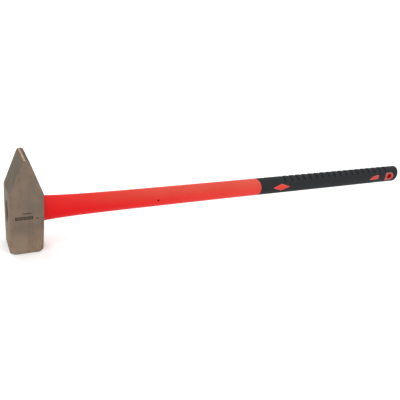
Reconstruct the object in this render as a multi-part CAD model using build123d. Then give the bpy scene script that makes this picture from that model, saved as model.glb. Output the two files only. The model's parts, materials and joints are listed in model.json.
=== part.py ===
"""Two-handed cross-peen sledge hammer: bronze head on an overmoulded fibreglass handle.

Frame: origin at the centre of the striking face, +X along the handle to the grip's end,
+Z from the striking face to the peen, and +Y across. Millimetres throughout.
"""

import os
from math import acos, atan2, cos, exp, hypot, radians, sin

from build123d import *

# Head
HEAD_WIDTH = 56.5          # along the handle
HEAD_DEPTH = 60.5          # across the handle
HEAD_LENGTH = 173.5        # striking face to the tip of the peen
SHOULDER_HEIGHT = 110.0    # where the two peen slopes start
PEEN_RADIUS = 6.5
EDGE_RADIUS = 1.8          # softened edges of the forging
FACE_EDGE_RADIUS = 2.5     # round the striking face
CORNER_CHAMFER = 7.8       # leg of the corner chamfers at the striking face
CHAMFER_HEIGHT = 62.0      # where the corner chamfers run out

# Eye: an oval hole through the head, narrowest at mid-width
EYE_HEIGHT = 41.0
EYE_DEPTH = 26.5
EYE_WAIST = 0.9            # waist size over mouth size
EYE_BEVEL = 1.0            # broken edge of each mouth
RESIN_RECESS = 4.5         # resin surface below the head's outer side

# Handle
TOTAL_LENGTH = 890.0
AXIS_HEIGHT = 70.0         # handle axis above the striking face
DEPTH_RATIO = 0.74         # handle depth over handle height
GRIP_HALF_HEIGHT = 18.45
TAPER_RISE = 1.2           # extra half-height of the plain shaft at the head
TAPER_END = 430.0          # where that extra has run out
NECK_FLARE = 4.3           # swelling against the head
NECK_LENGTH = 48.0         # decay length of the swelling
END_ROUND = 9.0
SPIGOT_LENGTH = 7.0        # jacket inside the mouth of the eye
SPIGOT_GAP = 0.6           # round the spigot

# Fibreglass core
CORE_HALF_HEIGHT = 14.0
CORE_HALF_DEPTH = 9.5
CORE_COVER = 3.0           # resin over the rod's end in the eye
CORE_TO_RIM = 6.0          # jacket between the rod's other end and the hang hole's rim

# Grip
GRIP_WALL = 2.6
GRIP_END_WALL = 5.0
GRIP_START = 464.5         # grip's edge along the top and the bottom
TONGUE_LENGTH = 9.0        # jacket's reach past that edge on both sides
GROOVE_COUNT = 18
GROOVE_START = 527.0
GROOVE_PITCH = 16.62
GROOVE_WIDTH = 5.0
GROOVE_DEPTH = 1.4
GROOVE_SWEEP = 4.0         # how far a groove's ends lie past its middle
GROOVE_FOOT = 8.5          # lower ends of the grooves, above the handle axis

# Windows in the grip, filled by raised fields of the jacket
DIAMOND_X = 525.0
DIAMOND_LENGTH = 42.0
DIAMOND_HEIGHT = 16.0
FIN_X = 772.5              # the fin's low end
FIN_LENGTH = 24.0
FIN_HEIGHT = 10.0
FIN_BASE = -4.5            # the fin's straight base, from the handle axis

# Hang hole, and the rim round it: a straight front, level sides and a round back
HOLE_X = 830.6
HOLE_RADIUS = 5.2
HOLE_TIP = (46.0, 211.0)   # half-angle of the hole's corner, and where it points
RIM_X = 832.9              # centre of the round back
RIM_Z = -0.6
RIM_RADIUS = 9.4
RIM_FRONT = 14.7           # the straight front, ahead of that centre
RIM_CORNER = 4.0           # round of the front's upper corner

# Dimples where pins hold the core in the mould
DIMPLE_X = 244.0
DIMPLE_Z = -1.3
DIMPLE_RADIUS = 1.9
DIMPLE_FLOOR = 0.8         # dimple floor over the jacket's half-depth

HALF_WIDTH = HEAD_WIDTH / 2
HALF_DEPTH = HEAD_DEPTH / 2
HANDLE_END = TOTAL_LENGTH - HALF_WIDTH
STATIONS = (HALF_WIDTH, 40, 55, 75, 100, 135, 190, 260, 340, TAPER_END, 520, 700)
ACROSS = 80.0              # wider than any part of the hammer


def half_height(x):
    """Half of the handle's height at a station along it."""
    taper = TAPER_RISE * max(0.0, 1 - x / TAPER_END)
    flare = NECK_FLARE * exp((HALF_WIDTH - x) / NECK_LENGTH)
    return GRIP_HALF_HEIGHT + taper + flare


def oval(x, half_depth, half_tall):
    """An ellipse across the handle axis at a station along it."""
    plane = Plane(origin=(x, 0, AXIS_HEIGHT), x_dir=(0, 1, 0), z_dir=(1, 0, 0))
    return (plane * Ellipse(half_depth, half_tall)).face()


def shaft(inset, end):
    """The handle's form as far as an end, less an inset."""
    sections = [
        oval(x, DEPTH_RATIO * half_height(x) - inset, half_height(x) - inset)
        for x in (*STATIONS, end)
    ]
    return loft(sections)


def handle_form():
    """The handle's whole outer form, with its free end rounded."""
    body = shaft(0.0, HANDLE_END)
    return fillet(body.edges().group_by(Axis.X)[-1], END_ROUND)


def side_profile(sketch, x, z=0.0):
    """A sketch seen from the side, extruded right across the handle."""
    plane = Plane.XZ.shift_origin((x, 0, AXIS_HEIGHT + z))
    return extrude(plane * sketch, ACROSS / 2, both=True)


def teardrop(radius, half_angle, direction):
    """A circle drawn out to one corner whose two sides are tangent to it."""
    def spoke(length, angle):
        return Vector(length, 0).rotate(Axis.Z, direction + angle)

    tip = spoke(radius / sin(radians(half_angle)), 0)
    upper = spoke(radius, 90 - half_angle)
    lower = spoke(radius, half_angle - 90)
    round_side = ThreePointArc(upper, spoke(radius, 180), lower)
    return make_face(Wire([Line(tip, upper), round_side, Line(lower, tip)]))


def diamond():
    """The long diamond of the front window."""
    length = DIAMOND_LENGTH / 2
    height = DIAMOND_HEIGHT / 2
    return make_face(Polyline((-length, 0), (0, height), (length, 0), (0, -height), close=True))


def fin():
    """The rear window: a plain quarter-oval fin with a straight base and back."""
    base = Line((0, 0), (FIN_LENGTH, 0))
    back = Line((FIN_LENGTH, 0), (FIN_LENGTH, FIN_HEIGHT))
    crest = EllipticalCenterArc((FIN_LENGTH, 0), FIN_LENGTH, FIN_HEIGHT, 90, arc_size=90)
    return make_face(Wire([base, back, crest]))


def rim():
    """The rim's outline, from the round back's centre."""
    front_x = -RIM_FRONT
    corner = (front_x + RIM_CORNER, RIM_RADIUS - RIM_CORNER)
    base = Line((0, -RIM_RADIUS), (front_x, -RIM_RADIUS))
    front = Line((front_x, -RIM_RADIUS), (front_x, corner[1]))
    bend = EllipticalCenterArc(corner, RIM_CORNER, RIM_CORNER, 90, arc_size=90)
    top = Line((corner[0], RIM_RADIUS), (0, RIM_RADIUS))
    back = ThreePointArc((0, RIM_RADIUS), (RIM_RADIUS, 0), (0, -RIM_RADIUS))
    return make_face(Wire([base, front, bend, top, back]))


def windows():
    """Space of everything that the jacket shows through the grip."""
    front = side_profile(diamond(), DIAMOND_X)
    rear = side_profile(fin(), FIN_X, FIN_BASE)
    return front + rear + side_profile(rim(), RIM_X, RIM_Z)


def bare_zone():
    """Space of the bare jacket: up to the grip's edge, and an oval tongue on both sides."""
    plain = Pos(GRIP_START, 0, AXIS_HEIGHT) * Box(
        GRIP_START, ACROSS, ACROSS, align=(Align.MAX, Align.CENTER, Align.CENTER)
    )
    return plain + side_profile(Ellipse(TONGUE_LENGTH, half_height(GRIP_START)), GRIP_START)


def eye_form(start, end, grow=0.0):
    """The eye's hollow between two stations, straight from each mouth to the waist."""
    def section(x):
        scale = EYE_WAIST + (1 - EYE_WAIST) * abs(x) / HALF_WIDTH
        return oval(x, EYE_DEPTH / 2 * scale + grow, EYE_HEIGHT / 2 * scale + grow)

    stations = (start, 0.0, end) if start < 0 < end else (start, end)
    return loft([section(x) for x in stations], ruled=True)


def eye_bevel(side):
    """The broken edge of the eye's mouth on one side of the head."""
    inner = oval(side * (HALF_WIDTH - EYE_BEVEL), EYE_DEPTH / 2, EYE_HEIGHT / 2)
    outer = oval(side * HALF_WIDTH, EYE_DEPTH / 2 + EYE_BEVEL, EYE_HEIGHT / 2 + EYE_BEVEL)
    return loft([inner, outer], ruled=True)


def head_profile():
    """Side view of the head: a block, and two slopes tangent to the round of the peen."""
    centre = HEAD_LENGTH - PEEN_RADIUS
    drop = centre - SHOULDER_HEIGHT
    touch = acos(PEEN_RADIUS / hypot(HALF_WIDTH, drop)) - atan2(drop, HALF_WIDTH)
    touch_x = PEEN_RADIUS * cos(touch)
    touch_z = centre + PEEN_RADIUS * sin(touch)
    sides = Polyline(
        (-touch_x, touch_z),
        (-HALF_WIDTH, SHOULDER_HEIGHT),
        (-HALF_WIDTH, 0),
        (HALF_WIDTH, 0),
        (HALF_WIDTH, SHOULDER_HEIGHT),
        (touch_x, touch_z),
    )
    peen = ThreePointArc((touch_x, touch_z), (0, HEAD_LENGTH), (-touch_x, touch_z))
    return make_face(Wire([*sides.edges(), peen]))


def make_head():
    """Square block under a wedge-shaped cross peen, with corner chamfers and the eye."""
    body = extrude(Plane.XZ * head_profile(), HALF_DEPTH, both=True)
    body = fillet([edge for edge in body.edges() if edge.center().Z > EDGE_RADIUS], EDGE_RADIUS)
    for side_x in (-1, 1):
        for side_y in (-1, 1):
            corner = (side_x * HALF_WIDTH, side_y * HALF_DEPTH, CHAMFER_HEIGHT)
            outward = (side_x, side_y, -CORNER_CHAMFER / CHAMFER_HEIGHT)
            body = split(body, bisect_by=Plane(corner, z_dir=outward), keep=Keep.BOTTOM)
    body = fillet(body.edges().group_by(Axis.Z)[0], FACE_EDGE_RADIUS)
    return body - eye_form(-HALF_WIDTH, HALF_WIDTH) - eye_bevel(-1) - eye_bevel(1)


def make_core_rod():
    """Pultruded fibreglass rod from inside the eye to just short of the hang hole."""
    start = RESIN_RECESS + CORE_COVER - HALF_WIDTH
    length = RIM_X - RIM_FRONT - CORE_TO_RIM - start
    return extrude(oval(start, CORE_HALF_DEPTH, CORE_HALF_HEIGHT), length, dir=(1, 0, 0))


def make_jacket(core_rod):
    """Moulded jacket round the rod: spigot, bare shaft, and what the grip's windows show."""
    outer = handle_form()
    jacket = shaft(GRIP_WALL, HANDLE_END - GRIP_END_WALL)
    jacket += (outer & bare_zone()) + (outer & windows())
    jacket += eye_form(HALF_WIDTH - SPIGOT_LENGTH, HALF_WIDTH, -SPIGOT_GAP)
    jacket -= side_profile(teardrop(HOLE_RADIUS, *HOLE_TIP), HOLE_X)
    floor = DIMPLE_FLOOR * DEPTH_RATIO * half_height(DIMPLE_X)
    pins = side_profile(Circle(DIMPLE_RADIUS), DIMPLE_X, DIMPLE_Z)
    pins -= Pos(DIMPLE_X, 0, AXIS_HEIGHT) * Box(ACROSS, 2 * floor, ACROSS)
    return jacket - pins - core_rod


def groove(start):
    """Space of one groove: a crescent seen from above, over the handle's upper half."""
    half = DEPTH_RATIO * half_height(start)
    front = ThreePointArc((GROOVE_SWEEP, -half), (0, 0), (GROOVE_SWEEP, half))
    back = Pos(GROOVE_WIDTH) * front
    outline = [front, Line(front @ 1, back @ 1), back, Line(back @ 0, front @ 0)]
    return extrude(Pos(start, 0, AXIS_HEIGHT + GROOVE_FOOT) * make_face(Wire(outline)), ACROSS)


def make_grip():
    """Soft shell round the jacket's end, with windows, and grooves over its upper half."""
    shell = handle_form() - bare_zone() - windows() - shaft(GRIP_WALL, HANDLE_END - GRIP_END_WALL)
    grooves = [groove(GROOVE_START + n * GROOVE_PITCH) for n in range(GROOVE_COUNT)]
    return shell - (Part() + grooves - shaft(GROOVE_DEPTH, HANDLE_END))


def make_eye_resin(core_rod):
    """Cast resin round the rod, from the spigot to below the eye's open mouth."""
    return eye_form(RESIN_RECESS - HALF_WIDTH, HALF_WIDTH - SPIGOT_LENGTH) - core_rod


def main():
    """Write one STEP file for each piece."""
    os.makedirs("parts", exist_ok=True)
    core_rod = make_core_rod()
    pieces = {
        "head": make_head(),
        "core_rod": core_rod,
        "jacket": make_jacket(core_rod),
        "grip": make_grip(),
        "eye_resin": make_eye_resin(core_rod),
    }
    for name, piece in pieces.items():
        export_step(piece, f"parts/{name}.step")


main()
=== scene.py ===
"""Finished surfaces, materials and stage for a two-handed cross-peen sledge hammer.

Laid out as an add-on: a panel lists one operator for each piece and one for the stage.
Everything is in metres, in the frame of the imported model: the origin is the centre of the
striking face, +X runs along the handle to the grip's end and +Z from the face to the peen.
"""

import json
import math

import bmesh
import bpy
import numpy as np
from bpy.props import FloatProperty, FloatVectorProperty, IntProperty, PointerProperty
from mathutils import Matrix, Vector


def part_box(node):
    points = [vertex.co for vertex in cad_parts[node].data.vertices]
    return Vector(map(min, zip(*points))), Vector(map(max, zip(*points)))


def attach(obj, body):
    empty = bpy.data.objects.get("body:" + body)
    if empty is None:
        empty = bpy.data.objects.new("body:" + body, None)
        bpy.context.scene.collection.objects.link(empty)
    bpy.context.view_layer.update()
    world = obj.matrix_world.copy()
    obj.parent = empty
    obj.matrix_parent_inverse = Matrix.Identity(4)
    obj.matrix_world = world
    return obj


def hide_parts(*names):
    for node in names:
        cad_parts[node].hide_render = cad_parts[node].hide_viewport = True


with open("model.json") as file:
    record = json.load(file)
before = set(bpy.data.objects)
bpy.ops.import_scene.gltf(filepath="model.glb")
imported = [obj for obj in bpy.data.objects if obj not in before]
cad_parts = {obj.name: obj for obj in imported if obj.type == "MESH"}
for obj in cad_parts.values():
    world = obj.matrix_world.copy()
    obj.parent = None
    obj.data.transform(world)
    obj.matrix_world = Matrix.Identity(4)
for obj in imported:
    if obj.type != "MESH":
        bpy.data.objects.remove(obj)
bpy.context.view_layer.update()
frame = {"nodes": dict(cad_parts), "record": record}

bl_info = {
    "name": "Sledge hammer surfaces",
    "version": (1, 0, 0),
    "blender": (4, 5, 0),
    "location": "3D View > Sidebar > Sledge Hammer",
    "description": "Builds the finished surfaces of a cross-peen sledge hammer round its packed model",
    "category": "Add Mesh",
}

MM = 0.001
HEAD_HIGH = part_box("head")[1]
GRIP_LOW, GRIP_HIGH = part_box("grip")
ROD_LOW, ROD_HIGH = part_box("core_rod")
RESIN_LOW, RESIN_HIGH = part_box("eye_resin")
HANG_HOLE = next(m for m in frame["record"]["mounts"] if m["name"] == "hang_hole")
AXIS_Z = HANG_HOLE["pos_m"][2]
HALF_WIDTH = HEAD_HIGH.x
HALF_DEPTH = HEAD_HIGH.y
HEAD_TOP = HEAD_HIGH.z
HANDLE_END = GRIP_HIGH.x


# ---------------------------------------------------------------- settings


def number(name, description, default, low, high, **kind):
    """A number that a user may change."""
    return FloatProperty(name=name, description=description, default=default, min=low, max=high, **kind)


def length(name, description, default, low=0.0):
    """A length in metres."""
    return number(name, description, default, low, 1.0, subtype="DISTANCE", unit="LENGTH", precision=4)


def offset(name, description, default):
    """A length in metres that may lie on either side of zero."""
    return length(name, description, default, -1.0)


def ratio(name, description, default):
    """A share of a whole."""
    return number(name, description, default, 0.01, 1.0, subtype="FACTOR")


def degrees(name, description, default):
    """An angle, given in degrees and kept in radians."""
    turn = 2 * math.pi
    return number(name, description, math.radians(default), -turn, turn, subtype="ANGLE", unit="ROTATION")


def colour(name, description, default):
    """A linear colour."""
    return FloatVectorProperty(
        name=name, description=description, default=default, size=3, min=0.0, max=1.0, subtype="COLOR"
    )


def point(name, description, default):
    """A place in space, in metres."""
    return FloatVectorProperty(
        name=name, description=description, default=default, size=3, subtype="TRANSLATION", unit="LENGTH"
    )


class HeadSettings(bpy.types.PropertyGroup):
    """Sizes and colours of the head and of the resin in its eye."""

    shoulder: length("Shoulder", "Height where the peen's slopes start", 110 * MM)
    peen_radius: length("Peen radius", "Round along the peen's ridge", 6.5 * MM)
    end_radius: length("Peen ends", "Round of the ridge's two ends", 2.2 * MM)
    edge_radius: length("Edge radius", "Softened long edges", 1.8 * MM)
    face_radius: length("Face edge radius", "Round of the striking face's border", 2.5 * MM)
    chamfer: length("Corner chamfer", "Leg of the corner chamfers at the striking face", 7.8 * MM)
    chamfer_top: length("Chamfer height", "Height where the corner chamfers run out", 62 * MM)
    eye_height: length("Eye height", "Height of the eye's mouth", 41 * MM)
    eye_depth: length("Eye depth", "Depth of the eye's mouth", 26.5 * MM)
    eye_waist: ratio("Eye waist", "Size of the eye's waist over its mouth", 0.9)
    eye_round: length("Eye edge", "Round of the eye's mouths", 1.2 * MM)
    meniscus: length("Meniscus", "How far the cast resin climbs the eye's wall", 1.2 * MM)
    bronze: colour("Bronze", "Blasted bronze", (0.200, 0.147, 0.109))
    # Oxidised grey for the clouds, also used as painted shade on the head's sides and slopes.
    bronze_oxide_and_shade: colour("Cool bronze", "Thin grey oxide on the bronze", (0.131, 0.121, 0.106))
    bronze_warm: colour("Warm bronze", "Fresher bronze near the striking face", (0.300, 0.225, 0.162))
    # Rubbed edges, and a painted highlight along the edges above the shoulder, where the peen's slopes meet
    # the faces.
    bronze_worn_and_highlight: colour("Worn bronze", "Brighter metal on rubbed edges", (0.40, 0.305, 0.215))
    stain: colour("Stain", "Brown stains, most of them near the striking face", (0.245, 0.150, 0.088))
    sheen: colour("Sheen", "Tint of the bronze where it is seen at a glancing angle", (0.62, 0.56, 0.50))
    mark: colour("Mark", "Burnt lines of the plain laser mark", (0.030, 0.024, 0.020))
    resin: colour("Resin", "Cast resin in the eye", (0.012, 0.013, 0.014))


class HandleSettings(bpy.types.PropertyGroup):
    """Sizes and colours of the red jacket and its glass-fibre rod."""

    half_height: length("Half height", "Half the handle's height at the grip", 18.45 * MM)
    depth_ratio: ratio("Depth ratio", "Handle depth over handle height", 0.74)
    taper: length("Taper", "Extra half-height of the plain shaft at the head", 1.2 * MM)
    taper_end: length("Taper end", "Where the taper has run out", 430 * MM)
    flare: length("Neck flare", "Swelling of the half-height against the head", 4.3 * MM)
    flare_length: length("Flare length", "Decay length of the swelling", 48 * MM)
    brow: length("Brow", "Softened edge of the jacket against the head", 0.5 * MM)
    spigot: length("Spigot", "Jacket inside the mouth of the eye", 7.0 * MM)
    spigot_gap: length("Spigot gap", "Play between the spigot and the eye's wall", 0.6 * MM)
    dimple_x: length("Dimple place", "Mould-pin dimple along the handle", 244 * MM)
    dimple_z: offset("Dimple height", "Mould-pin dimple from the handle axis", -1.3 * MM)
    dimple_radius: length("Dimple radius", "Mould-pin dimple", 2.1 * MM)
    dimple_depth: length("Dimple depth", "Mould-pin dimple", 3.0 * MM)
    red: colour("Red", "Moulded jacket", (0.650, 0.003, 0.005))
    # Painted highlight: the jacket is drawn lighter along the shaft towards the grip.
    red_grip_end_highlight: colour("Light red", "Jacket towards the grip", (0.690, 0.050, 0.036))
    # Painted highlight along the top of the jacket.
    red_top_highlight: colour("Faded red", "Top of the jacket", (0.46, 0.104, 0.062))
    red_end: colour("End red", "Fin and rim of the hang hole", (0.39, 0.066, 0.068))
    # Rubbed neck against the head, and painted glints round the window fields and the hang hole.
    red_rubbed_and_glint: colour("Rubbed red", "Rubbed edges of the jacket", (0.66, 0.21, 0.18))
    # Painted shade inside the dimples.
    red_pit_shade: colour("Pit red", "Inside of the dimples", (0.17, 0.0, 0.006))
    red_hole: colour("Hole red", "Inside of the hang hole", (0.60, 0.0, 0.012))
    fibre: colour("Fibre", "Pultruded glass fibre", (0.560, 0.520, 0.360))


class GripSettings(bpy.types.PropertyGroup):
    """Sizes and colours of the dark grip."""

    wall: length("Wall", "Thickness of the soft shell", 2.6 * MM)
    end_wall: length("End wall", "Thickness of the shell at the free end", 5.0 * MM)
    end_round: length("End round", "Reach of the domed free end", 10.0 * MM)
    end_flat: ratio("End flat", "Size of the flat at the dome's middle over the handle's", 0.12)
    lip: length("Lip", "Round of the grip's front edge", 0.25 * MM)
    crest: length("Crest", "Rise of each rib's front over the plain grip", 0.5 * MM)
    tongue: length("Tongue", "Reach of the jacket past the grip's edge on the sides", 9.0 * MM)
    groove_count: IntProperty(name="Grooves", description="Number of grooves", default=18, min=1, max=40)
    groove_start: length("First groove", "Start of the first groove's ramp", 529.2 * MM)
    groove_pitch: length("Pitch", "Distance between grooves", 16.62 * MM)
    groove_ramp: length("Groove ramp", "Length of the ramp down to the groove's foot", 3.4 * MM)
    groove_floor: length("Groove floor", "Length of the groove's level foot", 2.2 * MM)
    groove_step: length("Groove step", "Length of the steep step up to the next crest", 0.9 * MM)
    groove_depth: length("Groove depth", "Depth at the foot of the step", 2.0 * MM)
    groove_sweep: length("Sweep", "How far a groove's ends lie past its middle", 4.0 * MM)
    groove_foot: length("Groove foot", "Lower ends of the grooves above the axis", 8.5 * MM)
    diamond_x: length("Diamond", "Middle of the diamond window", 525 * MM)
    diamond_length: length("Diamond length", "Length of the diamond window", 42 * MM)
    diamond_height: length("Diamond height", "Height of the diamond window", 15 * MM)
    fin_x: length("Fin", "Low end of the fin window", 772.5 * MM)
    fin_length: length("Fin length", "Length of the fin window", 24 * MM)
    fin_height: length("Fin height", "Height of the fin window", 10 * MM)
    fin_base: offset("Fin base", "Base of the fin window from the handle axis", -4.5 * MM)
    rim_x: length("Rim", "Centre of the rim's round back along the handle", 832.9 * MM)
    rim_z: offset("Rim height", "Centre of the rim's round back from the handle axis", -0.6 * MM)
    rim_radius: length("Rim radius", "Round back of the red rim round the hang hole", 9.4 * MM)
    rim_front: length("Rim front", "The rim's straight front, ahead of that centre", 14.7 * MM)
    rim_corner: length("Rim corner", "Round of the front's upper corner", 4 * MM)
    hole_tip: degrees("Hole corner", "Half-angle of the hole's corner", 46.0)
    hole_points: degrees("Hole points", "Where the hole's corner points, seen from the side", 211.0)
    mouth: length("Hole mouth", "Width of the sunk border round the hang hole", 1.1 * MM)
    mouth_depth: length("Mouth depth", "Depth of the sunk border round the hang hole", 1.7 * MM)
    proud: length("Proud", "Rise of the red fields over the grip", 0.3 * MM)
    joint: length("Joint", "Fine gap between the grip and the red fields", 0.12 * MM)
    dark: colour("Dark", "Soft grip", (0.0155, 0.0170, 0.0190))
    dark_worn: colour("Worn dark", "Rubbed crests of the grip", (0.036, 0.039, 0.042))


class StageSettings(bpy.types.PropertyGroup):
    """Floor, light and camera."""

    camera: point("Camera", "Camera's place", (-0.1457, -0.8743, 0.5349))
    azimuth: degrees("Azimuth", "Camera's turn round the hammer", -29.09)
    elevation: degrees("Elevation", "Camera's tilt above the horizon", 25.74)
    roll: degrees("Roll", "Camera's turn about its own axis", 7.54)
    lens: FloatProperty(name="Lens", default=49.95, description="Focal length", unit="CAMERA")
    floor: colour("Floor", "Plain pale floor", (0.96, 0.96, 0.96))
    sky: number("Sky", "Even light from all round", 0.92, 0.0, 4.0)
    sun: number("Sun", "Wide soft light from above", 1.15, 0.0, 10.0)
    sun_width: degrees("Sun width", "How wide the sun looks, which softens its shadows", 70)
    sun_tilt: degrees("Sun tilt", "Turn of the sun about X", 18)
    sun_turn: degrees("Sun turn", "Turn of the sun about Y", 22)
    softbox: number("Softbox", "Wide lamp behind and above", 9.0, 0.0, 500.0, unit="POWER")
    softbox_place: point("Softbox place", "Middle of the lamp, which faces the ridge", (-0.36, 1.28, 1.15))
    softbox_width: length("Softbox width", "Width of the lamp", 0.45)
    softbox_height: length("Softbox height", "Height of the lamp", 0.40)


# ---------------------------------------------------------------- meshes


def smoothstep(low, high, value):
    """0 below low, 1 above high, and 3t^2 - 2t^3 between."""
    t = np.clip((value - low) / (high - low), 0.0, 1.0)
    return t * t * (3.0 - 2.0 * t)


def quarter(count):
    """Angles over a quarter turn."""
    return np.linspace(0.0, math.pi / 2, count)


def around(columns):
    """Angles round a whole turn."""
    return np.linspace(0.0, 2 * math.pi, columns, endpoint=False)


def directions(turn):
    """Unit vectors at angles."""
    return np.stack([np.cos(turn), np.sin(turn)], axis=-1)


def soft_minimum(first, second, softness):
    """Mean of the two less the root of their half-difference squared plus softness squared."""
    return (first + second) / 2 - np.sqrt(((first - second) / 2) ** 2 + softness**2)


def refined(stops, step):
    """All stops in order, with each gap wider than step divided evenly."""
    stops = np.unique(np.round(np.asarray(stops, float), 9))
    pieces = [
        np.linspace(a, b, max(1, math.ceil((b - a) / step - 1e-6)), endpoint=False)
        for a, b in zip(stops[:-1], stops[1:])
    ]
    return np.append(np.concatenate(pieces), stops[-1])


def tidy(mesh):
    """Merges doubled points, drops empty faces and points inside edges, and turns faces outwards."""
    work = bmesh.new()
    work.from_mesh(mesh)
    bmesh.ops.remove_doubles(work, verts=work.verts, dist=2e-6)
    bmesh.ops.dissolve_degenerate(work, edges=work.edges, dist=1e-7)
    bmesh.ops.dissolve_verts(work, verts=[point for point in work.verts if len(point.link_edges) == 2])
    bmesh.ops.recalc_face_normals(work, faces=work.faces)
    work.to_mesh(mesh)
    work.free()


def linked(name, data):
    """A new object with its data, linked to the scene."""
    made = bpy.data.objects.new(name, data)
    bpy.context.scene.collection.objects.link(made)
    return made


def new_object(name, points, faces):
    """An object at the origin made of points and faces, merged and turned outwards."""
    mesh = bpy.data.meshes.new(name)
    mesh.from_pydata(points.tolist(), [], faces)
    tidy(mesh)
    return linked(name, mesh)


def surface(name, grid, closed_rows=False, cap=False):
    """A grid of points, rows by columns by 3, as quads between neighbours.

    Columns always close on themselves. Rows close on each other if closed_rows is set, and
    with cap the first and the last row are each filled by one flat face.
    """
    rows, columns = grid.shape[:2]
    index = np.arange(rows * columns).reshape(rows, columns)
    if closed_rows:
        index = np.vstack([index, index[:1]])
    right = np.roll(index, -1, axis=1)
    quads = np.stack([index[:-1], right[:-1], right[1:], index[1:]], axis=-1)
    faces = quads.reshape(-1, 4).tolist()
    if cap:
        faces += [index[0, ::-1].tolist(), index[-1].tolist()]
    return new_object(name, grid.reshape(-1, 3), faces)


def prism(name, outline, half_across):
    """A side-view outline, points by 2 in X and Z, carried across the handle along Y."""
    rows = [
        np.column_stack([outline[:, 0], np.full(len(outline), y), outline[:, 1]])
        for y in (-half_across, half_across)
    ]
    return surface(name, np.array(rows), cap=True)


def combine(body, tool, operation):
    """Joins, cuts or intersects body with tool, which is then removed."""
    modifier = body.modifiers.new("combine", "BOOLEAN")
    modifier.operation = operation
    modifier.solver = "EXACT"
    modifier.object = tool
    graph = bpy.context.evaluated_depsgraph_get()
    made = bpy.data.meshes.new_from_object(body.evaluated_get(graph))
    if len(made.polygons) < 4:
        raise RuntimeError(f"{operation} of {body.name} and {tool.name} left nothing")
    body.modifiers.clear()
    spent = [body.data, tool.data]
    body.data = made
    bpy.data.objects.remove(tool)
    for mesh in spent:
        bpy.data.meshes.remove(mesh)


def finish_mesh(piece, sharp):
    """Smooth shading with hard lines only where faces meet at more than the sharp angle in degrees."""
    tidy(piece.data)
    piece.data.polygons.foreach_set("use_smooth", np.ones(len(piece.data.polygons), bool))
    piece.data.set_sharp_from_angle(angle=math.radians(sharp))


def positions(piece):
    """The piece's points, as an array of points by 3."""
    flat = np.empty(len(piece.data.vertices) * 3, np.float32)
    piece.data.vertices.foreach_get("co", flat)
    return flat.reshape(-1, 3).astype(float)


def write_mask(piece, name, values):
    """Stores one value from 0 to 1 for each point, for the materials to read."""
    attribute = piece.data.attributes.new(name, "FLOAT", "POINT")
    attribute.data.foreach_set("value", np.clip(values, 0.0, 1.0).astype(np.float32))


def adopt(piece, node, material):
    """Gives a finished piece its material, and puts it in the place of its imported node."""
    piece.data.materials.clear()
    piece.data.materials.append(material)
    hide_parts(node)
    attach(piece, "root")


# ---------------------------------------------------------------- materials


class Tree:
    """Short ways to add nodes to one node tree and to join them."""

    def __init__(self, tree):
        self.tree = tree

    def feed(self, socket, value):
        """Joins a socket to an input, or gives the input a value, with full alpha for a colour."""
        if isinstance(value, bpy.types.NodeSocket):
            self.tree.links.new(value, socket)
        else:
            socket.default_value = (*value, 1.0) if socket.type == "RGBA" else value

    def add(self, kind, inputs=None, **settings):
        """A node with its settings, and inputs given as values or as sockets to join."""
        node = self.tree.nodes.new(kind)
        for name, value in settings.items():
            setattr(node, name, value)
        for name, value in (inputs or {}).items():
            self.feed(node.inputs[name], value)
        return node

    def math(self, operation, first, second=0.0, clamp=False):
        """The result of a Math node."""
        node = self.add("ShaderNodeMath", {0: first, 1: second}, operation=operation, use_clamp=clamp)
        return node.outputs[0]

    def times(self, first, second):
        """The product of two values."""
        return self.math("MULTIPLY", first, second)

    def noise(self, vector, scale, detail=3.0, roughness=0.5):
        """The value of a Noise Texture on a vector."""
        values = {"Vector": vector, "Scale": scale, "Detail": detail, "Roughness": roughness}
        return self.add("ShaderNodeTexNoise", values).outputs["Fac"]

    def stretched_noise(self, vector, scale):
        """Noise whose scale differs along X, Y and Z."""
        mapped = self.add("ShaderNodeMapping", {"Vector": vector, "Scale": scale}).outputs[0]
        return self.noise(mapped, 1.0, 3.0, 0.6)

    def window(self, value, low, high, low_out=0.0, high_out=1.0):
        """A value carried smoothly from one range to another."""
        values = {"Value": value, "From Min": low, "From Max": high, "To Min": low_out, "To Max": high_out}
        node = self.add("ShaderNodeMapRange", values, interpolation_type="SMOOTHSTEP")
        return node.outputs["Result"]

    def mix(self, factor, first, second, blend="MIX"):
        """A colour mixed from two others."""
        values = {0: factor, 6: first, 7: second}
        return self.add("ShaderNodeMix", values, data_type="RGBA", blend_type=blend).outputs[2]

    def tinted(self, base, tint):
        """A colour multiplied by another."""
        return self.mix(1.0, base, tint, "MULTIPLY")

    def split(self, vector):
        """The X, Y and Z of a vector."""
        return self.add("ShaderNodeSeparateXYZ", {"Vector": vector}).outputs

    def mask(self, name):
        """A mask stored at the piece's points."""
        return self.add("ShaderNodeAttribute", attribute_name=name).outputs["Fac"]

    def bump(self, height, distance, **more):
        """A bump normal from a height, with the height's full scale given as a distance."""
        return self.add("ShaderNodeBump", {"Height": height, "Distance": distance, **more}).outputs["Normal"]


def new_group(name, inputs, outputs):
    """A new group's tree, and its sockets to join: a vector and the named values in, values out."""
    group = bpy.data.node_groups.new(name, "ShaderNodeTree")
    group.interface.new_socket("Vector", in_out="INPUT", socket_type="NodeSocketVector")
    for label, default in inputs.items():
        socket = group.interface.new_socket(label, in_out="INPUT", socket_type="NodeSocketFloat")
        socket.default_value = default
    for label in outputs:
        group.interface.new_socket(label, in_out="OUTPUT", socket_type="NodeSocketFloat")
    tree = Tree(group)
    return tree, tree.add("NodeGroupInput").outputs, tree.add("NodeGroupOutput").inputs


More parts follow.
